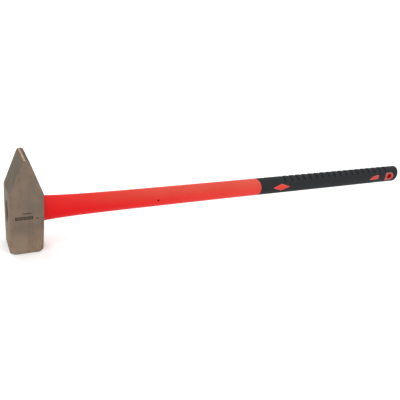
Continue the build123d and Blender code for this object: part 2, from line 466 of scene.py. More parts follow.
def build_grain(name):
    """Moulded or blasted grain: fine noise plus a coarser one, as a height from 0 to 1."""
    tree, source, sink = new_group(name, {"Grain Size": 0.0005, "Coarse Share": 0.35}, ["Height"])
    fine_scale = tree.math("DIVIDE", 1.0, source["Grain Size"])
    fine = tree.noise(source["Vector"], fine_scale, 2.0)
    coarse = tree.noise(source["Vector"], tree.math("DIVIDE", fine_scale, 6.0), 3.0)
    both = tree.add("ShaderNodeMix", {0: source["Coarse Share"], 2: fine, 3: coarse}, data_type="FLOAT")
    tree.feed(sink["Height"], both.outputs[0])
    return tree.tree


def build_mottle(name):
    """Uneven finish: large soft clouds and small specks, both as masks from 0 to 1."""
    tree, source, sink = new_group(name, {"Cloud Size": 0.04, "Speck Size": 0.003}, ["Clouds", "Specks"])
    cloud = tree.noise(source["Vector"], tree.math("DIVIDE", 1.0, source["Cloud Size"]), 4.0, 0.55)
    speck = tree.noise(source["Vector"], tree.math("DIVIDE", 1.0, source["Speck Size"]), 2.0, 0.6)
    tree.feed(sink["Clouds"], tree.window(cloud, 0.35, 0.65))
    tree.feed(sink["Specks"], tree.window(speck, 0.60, 0.74))
    return tree.tree


def build_wear(name):
    """Wear on edges: the stored edge mask, broken up by noise, from 0 to 1."""
    tree, source, sink = new_group(name, {"Edge": 0.0, "Amount": 0.5, "Break Up": 0.006}, ["Wear"])
    ragged = tree.noise(source["Vector"], tree.math("DIVIDE", 1.0, source["Break Up"]), 5.0, 0.65)
    spread = tree.times(tree.window(ragged, 0.3, 0.7, 0.25, 1.0), source["Edge"])
    worn = tree.window(spread, 0.12, 0.8)
    tree.feed(sink["Wear"], tree.math("MULTIPLY", worn, source["Amount"], clamp=True))
    return tree.tree


def placed(tree, name, build, values):
    """A shared group, built on first use and placed in a material with its values."""
    group = bpy.data.node_groups.get(name) or build(name)
    return tree.add("ShaderNodeGroup", values, node_tree=group).outputs


def grain(tree, vector, size, coarse):
    """Grain height at a size."""
    values = {"Vector": vector, "Grain Size": size, "Coarse Share": coarse}
    return placed(tree, "surface_grain", build_grain, values)["Height"]


def mottle(tree, vector, clouds, specks):
    """Cloud and speck masks."""
    values = {"Vector": vector, "Cloud Size": clouds, "Speck Size": specks}
    return placed(tree, "uneven_finish", build_mottle, values)


def wear(tree, vector, amount, break_up):
    """Wear mask from the stored edge mask."""
    values = {"Vector": vector, "Edge": tree.mask("edge"), "Amount": amount, "Break Up": break_up}
    return placed(tree, "edge_wear", build_wear, values)["Wear"]


def start_material(name, **fixed):
    """A tree with a Principled shader and fixed values, object coordinates, and a way to finish."""
    material = bpy.data.materials.new(name)
    material.use_nodes = True
    material.node_tree.nodes.clear()
    tree = Tree(material.node_tree)
    fixed = {label.replace("_", " "): value for label, value in fixed.items()}
    shader = tree.add("ShaderNodeBsdfPrincipled", fixed)
    tree.add("ShaderNodeOutputMaterial", {"Surface": shader.outputs[0]})

    def finish(base, roughness, normal=None):
        """Joins what was made to the shader, and gives back the material."""
        tree.feed(shader.inputs["Base Color"], base)
        tree.feed(shader.inputs["Roughness"], roughness)
        if normal is not None:
            tree.feed(shader.inputs["Normal"], normal)
        return material

    return tree, tree.add("ShaderNodeTexCoord").outputs["Object"], finish


def mark_mask(tree, vector):
    """A plain laser mark on the near side: a frame ruled with bars, a dash above it and a dot beside it."""
    x, y, z = tree.split(vector)
    soft = 0.15 * MM

    def band(value, low, high):
        """1 inside a range with soft borders."""
        rise = tree.window(value, low - soft, low + soft)
        fall = tree.window(value, high - soft, high + soft)
        return tree.math("SUBTRACT", rise, fall, clamp=True)

    def box(x_low, x_high, z_low, z_high):
        """1 inside a rectangle of the side view."""
        return tree.times(band(x, x_low, x_high), band(z, z_low, z_high))

    left, right = -19.5 * MM, 9.5 * MM
    low, high = AXIS_Z - 3.6 * MM, AXIS_Z + 2.4 * MM
    line = 0.9 * MM
    outer = box(left, right, low, high)
    inner = box(left + line, right - line, low + line, high - line)
    border = tree.math("SUBTRACT", outer, inner, clamp=True)
    bar_pitch = 2.2 * MM
    phase = tree.math("FRACT", tree.math("DIVIDE", tree.math("SUBTRACT", x, left), bar_pitch))
    bars = tree.times(inner, tree.window(phase, 0.30, 0.42))
    dash = box(-6.5 * MM, 7.0 * MM, AXIS_Z + 7.0 * MM, AXIS_Z + 8.6 * MM)
    dot = box(14.5 * MM, 19.0 * MM, AXIS_Z - 3.2 * MM, AXIS_Z - 1.4 * MM)
    marks = tree.math("ADD", tree.math("ADD", border, bars), tree.math("ADD", dash, dot), clamp=True)
    near = tree.window(y, -HALF_DEPTH + 0.3 * MM, -HALF_DEPTH + 0.6 * MM, 1.0, 0.0)
    return tree.times(marks, near)


def bronze_material(sizes):
    """Blasted bronze: grey, oxidised clouds, painted shade on every face but the two across the handle
    (darkest above the shoulder), warmer metal near the striking face, brown stains, drawn streaks and
    specks, the burnt mark, and brighter edges, partly rubbed and partly a painted highlight above the
    shoulder.
    """
    tree, vector, finish = start_material("head_bronze", Metallic=1.0, Specular_Tint=sizes.sheen)
    height = tree.split(vector)["Z"]
    uneven = mottle(tree, vector, 0.026, 0.0022)
    # Painted shade: every face but the two across the handle is darkened, fully above the shoulder and at
    # 0.4 below it; the clouds add real oxidised patches.
    slope_shade_by_height = tree.window(height, sizes.shoulder - 26 * MM, sizes.shoulder + 8 * MM, 0.4, 1.0)
    oxide_and_face_shade = tree.times(tree.mask("side"), slope_shade_by_height)
    oxide_and_face_shade = tree.math("MAXIMUM", oxide_and_face_shade, tree.times(uneven["Clouds"], 0.42))
    base = tree.mix(oxide_and_face_shade, sizes.bronze, sizes.bronze_oxide_and_shade)
    near_face = tree.window(height, 5 * MM, 55 * MM, 1.0, 0.0)
    base = tree.mix(tree.times(near_face, 0.8), base, sizes.bronze_warm)
    blots = tree.window(tree.noise(vector, 75.0, 4.0, 0.6), 0.50, 0.66)
    stained = tree.times(blots, tree.window(height, 8 * MM, 48 * MM, 0.75, 0.10))
    base = tree.mix(stained, base, sizes.stain)
    dark = tree.tinted(base, (0.72, 0.70, 0.68))
    streaks = tree.window(tree.stretched_noise(vector, (95.0, 95.0, 14.0)), 0.42, 0.70)
    base = tree.mix(tree.times(streaks, 0.32), base, dark)
    base = tree.mix(tree.times(uneven["Specks"], 0.35), base, dark)
    # Edge mask: real wear, plus a painted highlight on the edges above the shoulder.
    worn = wear(tree, vector, 0.5, 0.007)
    base = tree.mix(worn, base, sizes.bronze_worn_and_highlight)
    mark = mark_mask(tree, vector)
    base = tree.mix(tree.times(mark, 0.95), base, sizes.mark)
    rough = tree.window(uneven["Clouds"], 0.0, 1.0, 0.38, 0.48)
    rough = tree.math("SUBTRACT", rough, tree.times(worn, 0.12))
    rough = tree.math("ADD", rough, tree.times(mark, 0.2), clamp=True)
    blast = tree.bump(grain(tree, vector, 0.00055, 0.4), 0.00009)
    waves = tree.noise(vector, 28.0, 2.0)
    return finish(base, rough, tree.bump(waves, 0.0009, Strength=0.35, Normal=blast))


def resin_material(sizes):
    """Cast resin: near black, glossy, with a few tiny trapped bubbles."""
    tree, vector, finish = start_material("eye_resin", Metallic=0.0)
    uneven = mottle(tree, vector, 0.012, 0.0012)
    lighter = tree.tinted(sizes.resin, (2.6, 2.5, 2.3))
    base = tree.mix(tree.times(uneven["Clouds"], 0.6), sizes.resin, lighter)
    rough = tree.window(uneven["Clouds"], 0.0, 1.0, 0.22, 0.38)
    return finish(base, rough, tree.bump(uneven["Specks"], 0.00008))


def red_material(sizes):
    """Moulded red jacket: satin, slightly uneven, with a painted highlight that grows along the shaft
    towards the grip and over its top, duller at the fin and the rim, rubbed at the neck with painted glints
    round the window fields and the hang hole, painted shade in the dimples, and deep red inside the hang
    hole.
    """
    tree, vector, finish = start_material("jacket_red", Metallic=0.0, Specular_IOR_Level=0.10)
    x, y, z = tree.split(vector)
    uneven = mottle(tree, vector, 0.07, 0.0025)
    # Painted highlight growing along the shaft towards the grip.
    along = tree.window(x, 0.03, 0.50)
    base = tree.mix(tree.times(along, 0.75), sizes.red, sizes.red_grip_end_highlight)
    # Painted highlight on the jacket's top, weak near the head and full from 0.24 m along.
    upper = tree.window(z, AXIS_Z - 6 * MM, AXIS_Z + 15 * MM, 0.0, 0.35)
    top_highlight = tree.times(upper, tree.window(x, 0.0, 0.24, 0.15, 1.0))
    base = tree.mix(top_highlight, base, sizes.red_top_highlight)
    base = tree.mix(tree.window(x, 0.76, 0.82), base, sizes.red_end)
    pale = tree.tinted(base, (1.05, 1.6, 1.6))
    base = tree.mix(tree.times(uneven["Clouds"], 0.35), base, pale)
    # Wear at the neck, and painted glints round the windows and the hang hole.
    base = tree.mix(wear(tree, vector, 0.7, 0.003), base, sizes.red_rubbed_and_glint)
    # Painted shade in the dimples.
    base = tree.mix(tree.times(tree.mask("pit"), 0.95), base, sizes.red_pit_shade)
    across = tree.math("DIVIDE", y, sizes.depth_ratio)
    oval = tree.add("ShaderNodeCombineXYZ", {"Y": across, "Z": tree.math("SUBTRACT", z, AXIS_Z)}).outputs[0]
    from_axis = tree.add("ShaderNodeVectorMath", {0: oval}, operation="LENGTH").outputs["Value"]
    below = tree.window(from_axis, sizes.half_height - 1.2 * MM, sizes.half_height - 0.3 * MM, 1.0, 0.0)
    in_hole = tree.times(below, tree.window(x, 0.799, 0.801))
    base = tree.mix(in_hole, base, sizes.red_hole)
    rough = tree.window(uneven["Clouds"], 0.0, 1.0, 0.36, 0.46)
    rough = tree.math("ADD", rough, tree.times(uneven["Specks"], 0.08))
    return finish(base, rough, tree.bump(grain(tree, vector, 0.0006, 0.5), 0.00003))


def dark_material(sizes):
    """Soft grip: fine moulded grain, dull, uneven in large clouds, with grey rubbed crests."""
    tree, vector, finish = start_material("grip_dark", Metallic=0.0, Specular_IOR_Level=0.15)
    uneven = mottle(tree, vector, 0.05, 0.002)
    worn = wear(tree, vector, 0.55, 0.004)
    lighter = tree.tinted(sizes.dark, (1.35, 1.33, 1.30))
    base = tree.mix(tree.times(uneven["Clouds"], 0.6), sizes.dark, lighter)
    base = tree.mix(worn, base, sizes.dark_worn)
    rough = tree.window(uneven["Clouds"], 0.0, 1.0, 0.62, 0.74)
    rough = tree.math("SUBTRACT", rough, tree.times(worn, 0.12))
    return finish(base, rough, tree.bump(grain(tree, vector, 0.00045, 0.3), 0.00007))


def fibre_material(sizes):
    """Pultruded glass fibre: long pale strands along the rod in clear resin."""
    tree, vector, finish = start_material("core_fibreglass", Metallic=0.0)
    strands = tree.stretched_noise(vector, (12.0, 900.0, 900.0))
    bright = tree.tinted(sizes.fibre, (1.4, 1.4, 1.5))
    base = tree.mix(tree.window(strands, 0.4, 0.6), sizes.fibre, bright)
    rough = tree.window(strands, 0.3, 0.7, 0.28, 0.42)
    return finish(base, rough, tree.bump(strands, 0.00006))


# ---------------------------------------------------------------- head


NEAR_EDGE = np.array([0.6, 1.3, 2.4]) * MM


def rounded_octagons(half_x, half_y, leg, radius, arc_steps=6, side_step=0.004):
    """Rings round rectangles whose corners are cut by a chamfer and then rounded.

    Each ring is the octagon drawn in by the radius, plus the radius along the outward normal:
    two eighth-turns at each corner with the chamfer between them, and straight sides.
    """
    turn = np.linspace(0.0, math.pi / 4, arc_steps + 1)
    across = np.array([0.08, 0.2, 0.4, 0.6, 0.8, 0.92])
    normals = np.concatenate([turn, np.full(len(across), math.pi / 4), turn + math.pi / 4])
    share = np.concatenate([np.zeros(len(turn)), across, np.ones(len(turn))])[None, :, None]
    inner_x, inner_y = half_x - radius, half_y - radius
    first = np.stack([inner_x, inner_y - leg], axis=-1)[:, None, :]
    second = np.stack([inner_x - leg, inner_y], axis=-1)[:, None, :]
    corner = first * (1 - share) + second * share + radius[:, None, None] * directions(normals)
    corners = [corner, corner[:, ::-1] * (-1, 1), corner * (-1, -1), corner[:, ::-1] * (1, -1)]
    parts = []
    for here, after in zip(corners, corners[1:] + corners[:1]):
        gap = np.abs(after[:, 0] - here[:, -1]).max()
        near = NEAR_EDGE / gap
        even = np.linspace(0, 1, math.ceil(gap / side_step) + 1)[1:-1]
        even = even[(even > near[-1]) & (even < 1 - near[-1])]
        share = np.concatenate([near, even, 1 - near[::-1]])[:, None]
        parts += [here, here[:, -1:] * (1 - share) + after[:, :1] * share]
    return np.concatenate(parts, axis=1)


def head_rings(sizes):
    """The head as stacked rings.

    The half-width is the body's, softly cut off by the peen's slopes, and near the top it is
    the peen's circle. At the foot every side draws in along a quarter circle. The chamfer's
    leg grows in a straight line from its top to the striking face.
    """
    centre = HEAD_TOP - sizes.peen_radius
    drop = centre - sizes.shoulder
    touch = math.acos(sizes.peen_radius / math.hypot(HALF_WIDTH, drop)) - math.atan2(drop, HALF_WIDTH)
    touch_x = sizes.peen_radius * math.cos(touch)
    touch_z = centre + sizes.peen_radius * math.sin(touch)
    slope = (HALF_WIDTH - touch_x) / (touch_z - sizes.shoulder)

    foot = sizes.face_radius * (1 - np.cos(quarter(9)))
    peen_turn = np.linspace(touch, math.pi / 2, 14)
    peen = centre + sizes.peen_radius * np.sin(peen_turn)
    around_shoulder = sizes.shoulder + np.linspace(-4, 4, 13) * MM
    around_run_out = sizes.chamfer_top + np.linspace(-14, 2, 9) * MM
    over_foot = sizes.face_radius + NEAR_EDGE
    z = refined(np.concatenate([foot, over_foot, around_run_out, around_shoulder, peen]), 4 * MM)

    sloped = touch_x + (touch_z - z) * slope
    margin, softness = 0.1 * MM, 0.18 * MM
    half_x = soft_minimum(np.full_like(z, HALF_WIDTH + margin), sloped + margin, softness)
    half_x = np.minimum(half_x, HALF_WIDTH)
    in_round = np.sqrt(np.clip(sizes.peen_radius**2 - (z - centre) ** 2, 0.0, None))
    half_x = np.where(z > touch_z, in_round, half_x)
    over = np.clip(z - (HEAD_TOP - sizes.end_radius), 0.0, sizes.end_radius)
    half_y = HALF_DEPTH - (sizes.end_radius - np.sqrt(sizes.end_radius**2 - over**2))
    under = np.clip(sizes.face_radius - z, 0.0, sizes.face_radius)
    drawn_in = sizes.face_radius - np.sqrt(sizes.face_radius**2 - under**2)
    radius = np.minimum(sizes.edge_radius, half_x)
    leg = sizes.chamfer * np.clip(1 - z / sizes.chamfer_top, 0.0, 1.0)
    leg = np.clip(leg - (2 - math.sqrt(2)) * (radius + drawn_in), 0.0, None)
    rings = rounded_octagons(half_x - drawn_in, half_y - drawn_in, leg, radius)
    height = np.broadcast_to(z[:, None, None], (*rings.shape[:2], 1))
    return np.concatenate([rings, height], axis=2)


def oval_tube(stations, half_y, half_z, columns=96):
    """Ellipses at stations along the handle axis, as a grid of rows by columns by 3."""
    angle = around(columns)
    x = np.broadcast_to(np.asarray(stations)[:, None], (len(stations), columns))
    y = np.asarray(half_y)[:, None] * np.cos(angle)
    z = np.asarray(half_z)[:, None] * np.sin(angle) + AXIS_Z
    return np.stack([x, y, z], axis=-1)


def eye_sizes(sizes, x):
    """Half-depth and half-height of the eye: straight from each mouth to the waist."""
    scale = sizes.eye_waist + (1 - sizes.eye_waist) * np.abs(x) / HALF_WIDTH
    return sizes.eye_depth / 2 * scale, sizes.eye_height / 2 * scale


def eye_cutter(sizes):
    """The eye's hollow, which opens at each mouth along a quarter circle."""
    turn = quarter(8)
    x_round = HALF_WIDTH - sizes.eye_round * (1 - np.sin(turn))
    beyond = HALF_WIDTH + 2 * MM
    half = np.concatenate([[0.0, HALF_WIDTH / 2], x_round, [beyond]])
    grow = np.concatenate([[0.0, 0.0], sizes.eye_round * (1 - np.cos(turn)), [sizes.eye_round]])
    x = np.concatenate([-half[:0:-1], half])
    grow = np.concatenate([grow[:0:-1], grow])
    half_y, half_z = eye_sizes(sizes, np.minimum(np.abs(x), HALF_WIDTH))
    return surface("eye_cutter", oval_tube(x, half_y + grow, half_z + grow), cap=True)


def head_edge_mask(sizes, points):
    """1 on the head's long edges, fading to 0 at 1.5 mm from them.

    The second-smallest distance from a point to the head's planes is small only near an edge.
    """
    x, y, z = np.abs(points[:, 0]), np.abs(points[:, 1]), points[:, 2]
    centre = HEAD_TOP - sizes.peen_radius
    run, rise = HALF_WIDTH, centre - sizes.shoulder
    tilt = math.acos(sizes.peen_radius / math.hypot(run, rise)) - math.atan2(rise, run)
    slope = sizes.peen_radius - (x * math.cos(tilt) + (z - centre) * math.sin(tilt))
    lean = sizes.chamfer / sizes.chamfer_top
    cut = (HALF_WIDTH - x + HALF_DEPTH - y - (sizes.chamfer - lean * z)) / math.sqrt(2 + lean**2)
    planes = np.stack([HALF_WIDTH - x, HALF_DEPTH - y, z, np.abs(slope), np.abs(cut)])
    second = np.sort(planes, axis=0)[1]
    return 1 - smoothstep(0.2 * MM, 1.5 * MM, second)


class SLEDGE_OT_head(bpy.types.Operator):
    """Builds the bronze head with its eye."""

    bl_idname = "sledge.head"
    bl_label = "Head"

    def execute(self, context):
        """Stacks the rings, cuts the eye, and marks the edges, which are rubbed and also take a painted
        highlight, and the faces that take painted shade. The painted shade leaves out the two faces across
        the handle and, away from the handle, the crest of the ridge. Towards the handle it goes on over the
        crest and over the edges of that side.
        """
        sizes = context.scene.sledge_head
        piece = surface("hammer_head", head_rings(sizes), cap=True)
        combine(piece, eye_cutter(sizes), "DIFFERENCE")
        finish_mesh(piece, sharp=40)
        points = positions(piece)
        x, y, z = points.T
        # Edges above the shoulder count more: a painted highlight where the peen's slopes meet the faces, on
        # top of the wear.
        rubbed = 0.35 + 0.65 * smoothstep(sizes.shoulder - 8 * MM, sizes.shoulder + 8 * MM, z)
        write_mask(piece, "edge", head_edge_mask(sizes, points) * rubbed)
        below_ridge = 1 - smoothstep(HEAD_TOP - 7 * MM, HEAD_TOP - 3 * MM, z)
        below_ridge = np.maximum(below_ridge, smoothstep(0.5 * MM, 2.5 * MM, x))
        handle_edge = 1 - smoothstep(0.2 * MM, 1.2 * MM, HALF_WIDTH - x)
        # Painted shade mask: the faces to darken, leaving out the two across the handle and the ridge's
        # crest away from the handle.
        oxide_and_face_shade = smoothstep(0.2 * MM, 1.6 * MM, HALF_DEPTH - np.abs(y)) * below_ridge
        write_mask(piece, "side", np.maximum(oxide_and_face_shade, handle_edge))
        adopt(piece, "head", bronze_material(sizes))
        return {"FINISHED"}


class SLEDGE_OT_resin(bpy.types.Operator):
    """Builds the cast resin in the eye, which climbs the wall a little round its surface."""

    bl_idname = "sledge.resin"
    bl_label = "Eye resin"

    def execute(self, context):
        """Carries one closed section round the eye.

        It runs from the middle of the dished surface out to the wall, along the wall to the
        spigot, in to the rod, and back along the rod to the middle of its end.
        """
        sizes = context.scene.sledge_head
        share = np.linspace(0.0, 1.0, 24)
        dish_y, dish_z = eye_sizes(sizes, RESIN_LOW.x)
        climb = sizes.meniscus * (1 - np.exp((share - 1) / 0.07))
        waves = 0.12 * MM * np.sin(7 * share)
        front_x = RESIN_LOW.x + climb - sizes.meniscus * 0.2 + waves * (1 - share)
        front_x = np.maximum(front_x, RESIN_LOW.x)
        wall_x = np.linspace(front_x[-1], RESIN_HIGH.x, 12)[1:]
        wall_y, wall_z = eye_sizes(sizes, wall_x)
        rod_y, rod_z = ROD_HIGH.y, ROD_HIGH.z - AXIS_Z
        rod_x = np.array([RESIN_HIGH.x, ROD_LOW.x, ROD_LOW.x])
        rod_share = np.array([1.0, 1.0, 0.0])
        x = np.concatenate([front_x, wall_x, rod_x])
        half_y = np.concatenate([dish_y * share, wall_y, rod_y * rod_share])
        half_z = np.concatenate([dish_z * share, wall_z, rod_z * rod_share])
        piece = surface("eye_resin_fill", oval_tube(x, half_y, half_z))
        finish_mesh(piece, sharp=32)
        adopt(piece, "eye_resin", resin_material(sizes))
        return {"FINISHED"}


# ---------------------------------------------------------------- handle


def handle_half_height(sizes, x):
    """The grip's half-height, plus a straight taper, plus a swelling that decays from the head."""
    taper = sizes.taper * np.clip(1 - x / sizes.taper_end, 0.0, None)
    flare = sizes.flare * np.exp((HALF_WIDTH - x) / sizes.flare_length)
    return sizes.half_height + taper + flare


def dome(grip, end, reach, count):
    """Stations and sizes over a domed end: a quarter ellipse from full size down to a small flat."""
    turn = quarter(count)
    return end - reach * (1 - np.sin(turn)), grip.end_flat + (1 - grip.end_flat) * np.cos(turn)


def handle_grid(handle, x, angle, inset=0.0, scale=1.0):
    """Points of the handle's oval at stations x and angles, drawn in by an inset and scaled."""
    tall = handle_half_height(handle, x)
    half_z = (tall - inset) * scale
    half_y = (handle.depth_ratio * tall - inset) * scale
    return np.stack([x, half_y * np.cos(angle), half_z * np.sin(angle) + AXIS_Z], axis=-1)


def grown(column, angle):
    """A column of values, one for each row, repeated at every angle."""
    return np.repeat(np.asarray(column)[:, None], len(angle), axis=1)


def tongue_edge(grip, angle):
    """Where the grip starts, at each angle round the handle: an ellipse seen from the side."""
    height = np.clip(np.sin(angle), -1.0, 1.0)
    return GRIP_LOW.x + grip.tongue * np.sqrt(1 - height**2)


def teardrop(radius, tip_angle, points, arc_points=40):
    """A circle drawn out to one corner whose two sides are tangent to it, seen from the side."""
    half_arc = math.pi / 2 + tip_angle
    turn = points + math.pi + np.linspace(-half_arc, half_arc, arc_points)
    tip = radius / math.sin(tip_angle) * directions([points])
    return np.concatenate([radius * directions(turn), tip]) + (HANG_HOLE["pos_m"][0], AXIS_Z)


def offset_outline(outline, distance):
    """An outline moved outwards by a distance, its corners kept sharp."""
    after = np.roll(outline, -1, axis=0) - outline
    normal_after = np.stack([after[:, 1], -after[:, 0]], -1) / np.linalg.norm(after, axis=1)[:, None]
    total = np.roll(normal_after, 1, axis=0) + normal_after
    return outline + 2 * distance * total / (total**2).sum(axis=1)[:, None]


def arc(centre, radius, start, end, count):
    """Points along an arc, from one angle in degrees to another."""
    return np.array(centre) + radius * directions(np.radians(np.linspace(start, end, count)))


def rim_outline(grip):
    """A straight front with its upper corner rounded, level sides and a half-round back."""
    radius, front, corner = grip.rim_radius, grip.rim_front, grip.rim_corner
    back = arc((0.0, 0.0), radius, -90, 90, 32)
    bend = arc((corner - front, radius - corner), corner, 90, 180, 8)
    outline = np.concatenate([back, bend, [(-front, -radius)]])
    return outline + (grip.rim_x, AXIS_Z + grip.rim_z)


def window_outlines(grip):
    """Side-view outlines of the diamond, the fin and the hang hole's rim, anticlockwise."""
    half_length, half_height = grip.diamond_length / 2, grip.diamond_height / 2
    diamond = np.array([(half_length, 0), (0, half_height), (-half_length, 0), (0, -half_height)])
    turn = np.linspace(math.pi / 2, math.pi, 20)
    crest = np.stack([grip.fin_length * (1 + np.cos(turn)), grip.fin_height * np.sin(turn)], -1)
    fin = np.concatenate([[(grip.fin_length, 0.0)], crest])
    return {
        "diamond": diamond + (grip.diamond_x, AXIS_Z),
        "fin": fin + (grip.fin_x, AXIS_Z + grip.fin_base),
        "rim": rim_outline(grip),
    }


def wall_rows(handle, grip, angle, edge):
    """The wall between jacket and grip, from the tongue's edge to the middle of its domed end."""
    end = HANDLE_END - grip.end_wall
    reach = grip.end_round - 3 * MM
    share = np.linspace(0, 1, 36)[:, None]
    straight = edge + share * (end - reach - edge)
    dome_x, dome_scale = dome(grip, end, reach, 8)
    domed = handle_grid(handle, grown(dome_x, angle), angle, grip.wall, dome_scale[:, None])
    middle = np.broadcast_to(np.array([end, 0.0, AXIS_Z]), (1, len(angle), 3))
    return np.concatenate([handle_grid(handle, straight, angle, grip.wall), domed[1:], middle])


def jacket_form(handle, grip, columns=144):
    """The jacket without its window fields, as one closed surface.

    Rows run from the spigot in the eye out to the shoulder, along the bare shaft to the
    tongue's edge, down by the grip's wall, and on under the grip to the closed end.
    """
    head = bpy.context.scene.sledge_head
    angle = around(columns)
    edge = tongue_edge(grip, angle)
    spigot_x = np.array([HALF_WIDTH - handle.spigot, HALF_WIDTH - handle.spigot, HALF_WIDTH])
    spigot_y, spigot_z = eye_sizes(head, spigot_x)
    share = np.array([0.0, 1.0, 1.0])
    gap = handle.spigot_gap
    plug = oval_tube(spigot_x, (spigot_y - gap) * share, (spigot_z - gap) * share, columns)

    turn = quarter(5)
    brow_x = HALF_WIDTH + handle.brow * (1 - np.cos(turn))
    brow_inset = handle.brow * (1 - np.sin(turn))
    brow = handle_grid(handle, grown(brow_x, angle), angle, brow_inset[:, None])
    shaft_share = refined(np.concatenate([np.linspace(0, 0.35, 24), [1.0]]), 0.02)[1:, None]
    shaft = handle_grid(handle, brow_x[-1] + shaft_share * (edge - brow_x[-1]), angle)
    under_grip = wall_rows(handle, grip, angle, edge)
    return surface("jacket_moulding", np.concatenate([plug, brow, shaft, under_grip]))


def raised_field(handle, name, outline, proud, columns=192):
    """The part of the handle's outer form inside an outline, standing a little proud of the grip."""
    angle = around(columns)
    margin = 2 * MM
    x = refined([outline[:, 0].min() - margin, outline[:, 0].max() + margin], 1 * MM)
    field = surface(name, handle_grid(handle, grown(x, angle), angle, -proud), cap=True)
    combine(field, prism(name + "_outline", outline, handle.half_height * 2), "INTERSECT")
    return field


def carve(piece, outline, surface_y, depth):
    """Sinks a side-view outline into both sides of a piece, to a flat floor."""
    half = 4 * MM
    for side in (-1, 1):
        pin = prism("pin", outline, half)
        moved = positions(pin) + (0.0, side * (surface_y + half - depth), 0.0)
        pin.data.vertices.foreach_set("co", moved.astype(np.float32).ravel())
        combine(piece, pin, "DIFFERENCE")


def distance_to_outline(points, outline):
    """Each point's distance in the side view to the nearest straight piece of an outline."""
    start, end = outline[None], np.roll(outline, -1, axis=0)[None]
    place = points[:, None, [0, 2]]
    run = end - start
    share = np.clip(((place - start) * run).sum(-1) / (run**2).sum(-1), 0.0, 1.0)
    return np.linalg.norm(place - start - share[..., None] * run, axis=-1).min(axis=1)


class SLEDGE_OT_rod(bpy.types.Operator):
    """Gives the hidden glass-fibre rod its strands."""

    bl_idname = "sledge.rod"
    bl_label = "Core rod"

    def execute(self, context):
        """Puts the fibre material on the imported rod."""
        node = frame["nodes"]["core_rod"]
        node.data.materials.clear()
        node.data.materials.append(fibre_material(context.scene.sledge_handle))
        return {"FINISHED"}


class SLEDGE_OT_jacket(bpy.types.Operator):
    """Builds the red jacket with its window fields, its hang hole and its dimples."""

    bl_idname = "sledge.jacket"
    bl_label = "Jacket"

    def execute(self, context):
        """Adds the fields that show through the grip, then cuts the hole and the dimples."""
        handle, grip = context.scene.sledge_handle, context.scene.sledge_grip
        piece = jacket_form(handle, grip)
        across = handle.half_height * 2
        for name, outline in window_outlines(grip).items():
            combine(piece, raised_field(handle, name, outline, grip.proud), "UNION")
        hole = teardrop(HANG_HOLE["dims"]["r_mm"] * MM, grip.hole_tip, grip.hole_points)
        combine(piece, prism("hole", hole, across), "DIFFERENCE")
        hole_y = handle.depth_ratio * handle_half_height(handle, HANG_HOLE["pos_m"][0])
        carve(piece, offset_outline(hole, grip.mouth), hole_y, grip.mouth_depth)
        surface_y = handle.depth_ratio * handle_half_height(handle, handle.dimple_x)
        dimple = arc((handle.dimple_x, AXIS_Z + handle.dimple_z), handle.dimple_radius, 0, 345, 24)
        carve(piece, dimple, surface_y, handle.dimple_depth)
        rod_y, rod_z = ROD_HIGH.y * np.ones(2), (ROD_HIGH.z - AXIS_Z) * np.ones(2)
        rod_space = surface("rod_space", oval_tube([ROD_LOW.x, ROD_HIGH.x], rod_y, rod_z), cap=True)
        combine(piece, rod_space, "DIFFERENCE")
        finish_mesh(piece, sharp=28)
        points = positions(piece)
        outlines = [*window_outlines(grip).values(), hole]
        distance = np.min([distance_to_outline(points, outline) for outline in outlines], axis=0)
        # Painted glints: a lighter border round the window fields and the hang hole.
        rim = 1 - smoothstep(0.1 * MM, 1.6 * MM, distance)
        reach = np.hypot(points[:, 1] / handle.depth_ratio, points[:, 2] - AXIS_Z)
        outside = reach / handle.half_height > 0.99
        neck = 1 - smoothstep(0.2 * MM, 2 * MM, np.abs(points[:, 0] - HALF_WIDTH))
        write_mask(piece, "edge", np.maximum(0.5 * neck, rim * outside))
        # Painted shade mask: the sunk floor and walls of the dimple.
        depth = surface_y - np.abs(points[:, 1])
        aside = np.hypot(points[:, 0] - handle.dimple_x, points[:, 2] - AXIS_Z - handle.dimple_z)
        dimple_shade_mask = (aside < 1.05 * handle.dimple_radius) * smoothstep(0.1 * MM, 1 * MM, depth)
        write_mask(piece, "pit", dimple_shade_mask)
        adopt(piece, "jacket", red_material(handle))
        return {"FINISHED"}


def rib_height(grip, along):
    """Height over the plain grip at a distance from the start of the first groove's ramp.

    In each pitch the surface ramps down to the groove's foot, stays level, climbs a steep
    step to a crest that stands a little proud, and falls in a straight line to the next ramp.
    """
    phase = np.mod(along, grip.groove_pitch)
    step_start = grip.groove_ramp + grip.groove_floor
    step_end = step_start + grip.groove_step
    down = -grip.groove_depth * smoothstep(0.0, grip.groove_ramp, phase)
    fall = grip.crest * (grip.groove_pitch - phase) / (grip.groove_pitch - step_end)
    up = smoothstep(step_start, step_end, phase)
    return np.where(phase > step_start, down * (1 - up) + fall * up, down)


